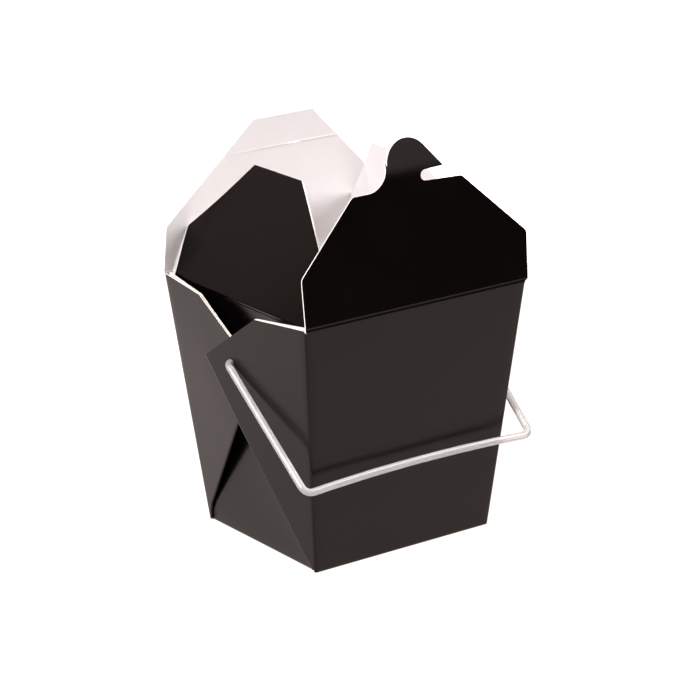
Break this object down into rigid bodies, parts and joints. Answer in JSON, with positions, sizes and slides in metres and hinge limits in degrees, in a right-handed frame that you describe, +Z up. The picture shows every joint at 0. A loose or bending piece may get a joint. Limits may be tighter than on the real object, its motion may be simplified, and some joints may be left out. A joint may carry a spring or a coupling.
{
  "type": "noodle takeaway box",
  "caption": "Open folded paperboard pail with flared walls, doubled corner gussets, hinged top flaps with a hook and slit lock, and a swinging plastic bail.",
  "frame": {"origin": "centre of the underside, on the surface that the box stands on", "axes": "+Z up; X along the wide front and back walls; -Y out of the front wall, whose flap has the hook"},
  "size_m": [0.1124, 0.0962, 0.1629],
  "materials": {
    "paperboard": "satin",
    "bail": "satin"
  },
  "bodies": {
    "carton": {"carton": "paperboard"},
    "front_flap": {"flap_front": "paperboard"},
    "back_flap": {"flap_back": "paperboard"},
    "left_flap": {"flap_left": "paperboard"},
    "right_flap": {"flap_right": "paperboard"},
    "bail": {"handle": "bail"}
  },
  "joints": [
    {"name": "front_flap_crease", "type": "hinge", "parent": "carton", "child": "front_flap", "pos_m": [0, -0.04675, 0.1], "axis": [-1, 0, 0], "range_deg": [-95, 0]},
    {"name": "back_flap_crease", "type": "hinge", "parent": "carton", "child": "back_flap", "pos_m": [0, 0.04675, 0.1], "axis": [1, 0, 0], "range_deg": [-95, 0]},
    {"name": "left_flap_crease", "type": "hinge", "parent": "carton", "child": "left_flap", "pos_m": [-0.04735, 0, 0.099], "axis": [0, 1, 0], "range_deg": [-80, 70]},
    {"name": "right_flap_crease", "type": "hinge", "parent": "carton", "child": "right_flap", "pos_m": [0.04735, 0, 0.099], "axis": [0, -1, 0], "range_deg": [-80, 65]},
    {"name": "bail_swing", "type": "hinge", "parent": "carton", "child": "bail", "pos_m": [0, -0.0008, 0.0769], "axis": [-1, 0, 0], "range_deg": [-7, 60]}
  ]
}
